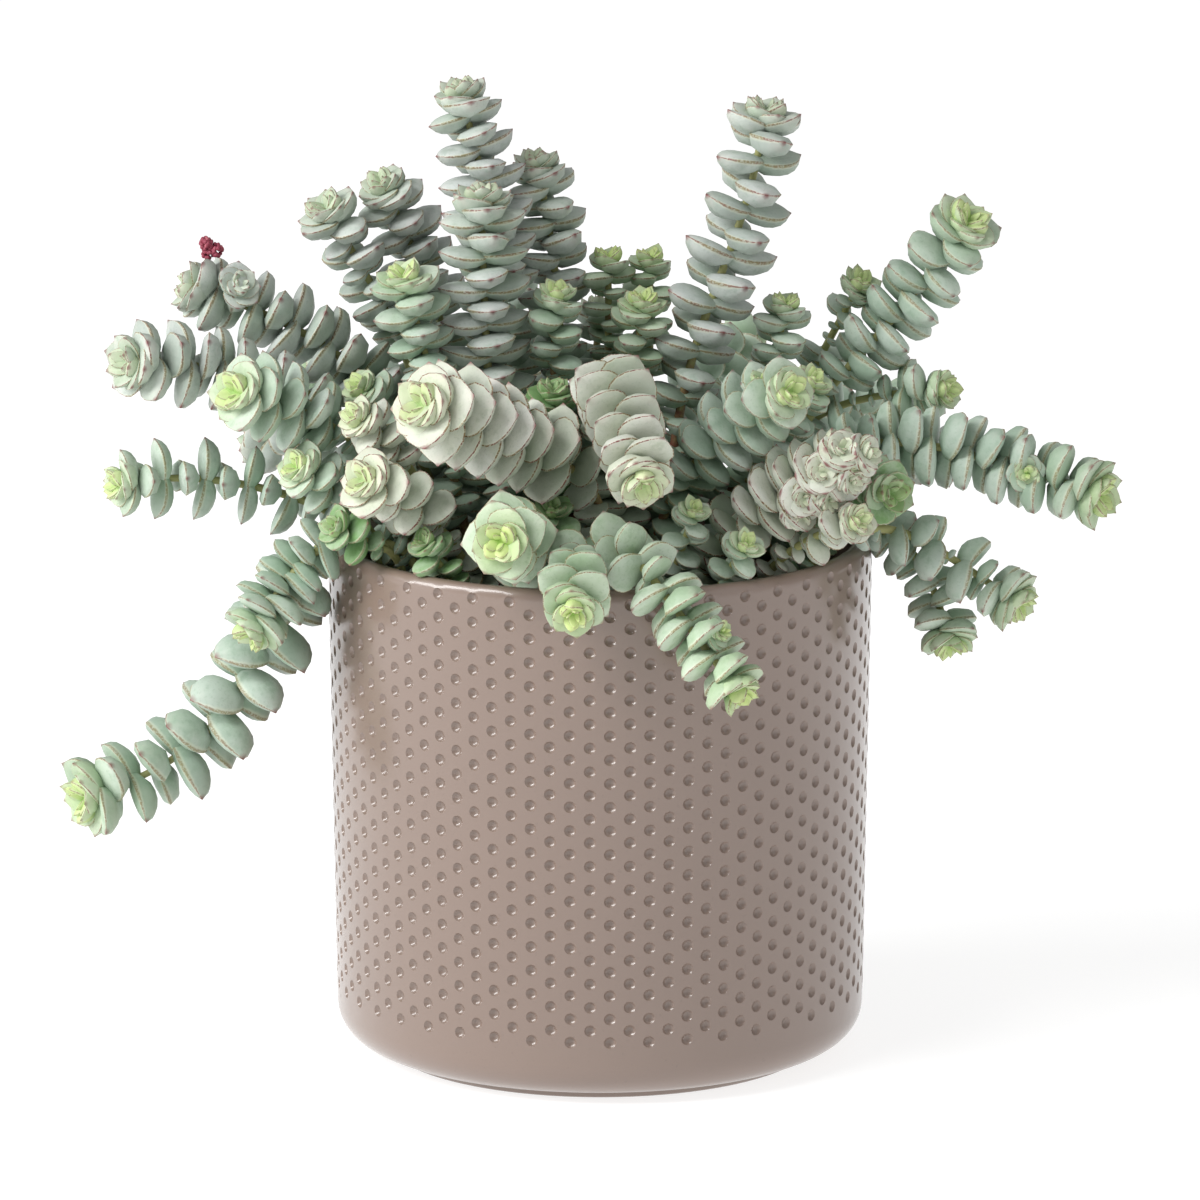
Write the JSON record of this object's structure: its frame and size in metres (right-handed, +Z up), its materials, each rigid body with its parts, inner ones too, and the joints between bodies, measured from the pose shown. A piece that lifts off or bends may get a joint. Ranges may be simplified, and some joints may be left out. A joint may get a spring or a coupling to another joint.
{
  "type": "potted succulent",
  "caption": "Trailing succulent with thick, stacked pairs of leaves along arching stems, growing in soil in a dimpled ceramic cylinder pot that stands on its base.",
  "frame": {"origin": "middle of the pot's flat underside, where it stands", "axes": "+Z up out of the pot, +X to the viewer's right, -Y towards the viewer, who faces the plant's front with the trailing stems"},
  "size_m": [0.251, 0.1854, 0.2332],
  "materials": {
    "glaze": "satin taupe glaze",
    "soil": "crumbly dark potting soil",
    "grey_leaf": "waxy lilac grey leaf",
    "mint_leaf": "waxy mint green leaf",
    "cream_leaf": "waxy cream green leaf, pink edged",
    "lime_leaf": "satin lime green leaf, cream edged",
    "green_leaf": "satin strong green leaf",
    "buds": "crimson flower buds"
  },
  "bodies": {
    "root": {"pot": "glaze", "soil": "soil", "flower_buds": "buds", "stem_dense_front": "cream_leaf", "stem_dense_left": "cream_leaf", "stem_trailing_front": "lime_leaf", "stem_over_rim_front": "lime_leaf", "stem_on_rim_front": "lime_leaf", "stem_tall_left": "grey_leaf", "stem_tall_left_back": "grey_leaf", "stem_tall_right": "grey_leaf", "stem_trailing_left": "mint_leaf", "stem_hanging_rosette_left": "mint_leaf", "stem_long_right": "mint_leaf", "stem_tall_far_right": "mint_leaf", "stem_budded_left": "grey_leaf", "stem_upper_left": "grey_leaf", "stem_rosette_left": "mint_leaf", "stem_thin_left": "mint_leaf", "stem_rosette_right": "mint_leaf", "stem_crested_right": "cream_leaf", "stem_crested_right_low": "cream_leaf", "stem_green_rosette_right": "green_leaf", "stem_drooping_right": "mint_leaf", "stem_drooping_far_right": "mint_leaf", "stem_lime_top_left": "mint_leaf", "stem_back_left_right": "grey_leaf", "stem_back_left": "grey_leaf", "stem_upright_centre": "grey_leaf", "stem_small_rosette_left": "cream_leaf", "stem_rosette_low_left": "cream_leaf", "stem_rosette_far_left": "mint_leaf", "stem_small_green_left": "green_leaf", "stem_mid_right": "mint_leaf", "stem_behind_far_right": "mint_leaf", "stem_centre_small": "mint_leaf", "stem_centre_right_small": "lime_leaf", "stem_back_small_left": "lime_leaf", "stem_back_small_right": "lime_leaf", "stem_right_small_tips": "mint_leaf", "stem_right_inner": "mint_leaf", "stem_centre_shade": "green_leaf", "stem_centre_front": "green_leaf", "stem_sprout_front": "mint_leaf", "stem_rim_front_right": "mint_leaf", "stem_rim_front_left": "green_leaf", "stem_inner_left": "mint_leaf", "stem_rear_upright": "grey_leaf", "stem_rear_left_high": "grey_leaf", "stem_rear_right_high": "mint_leaf", "stem_rear_right": "mint_leaf", "stem_rear_left": "mint_leaf", "stem_rear_trailing_left": "mint_leaf", "stem_rear_trailing_right": "lime_leaf", "stem_right_rear": "grey_leaf", "stem_left_rear": "grey_leaf", "stem_rear_drooping": "cream_leaf", "stem_rear_rosette": "cream_leaf"}
  },
  "joints": []
}
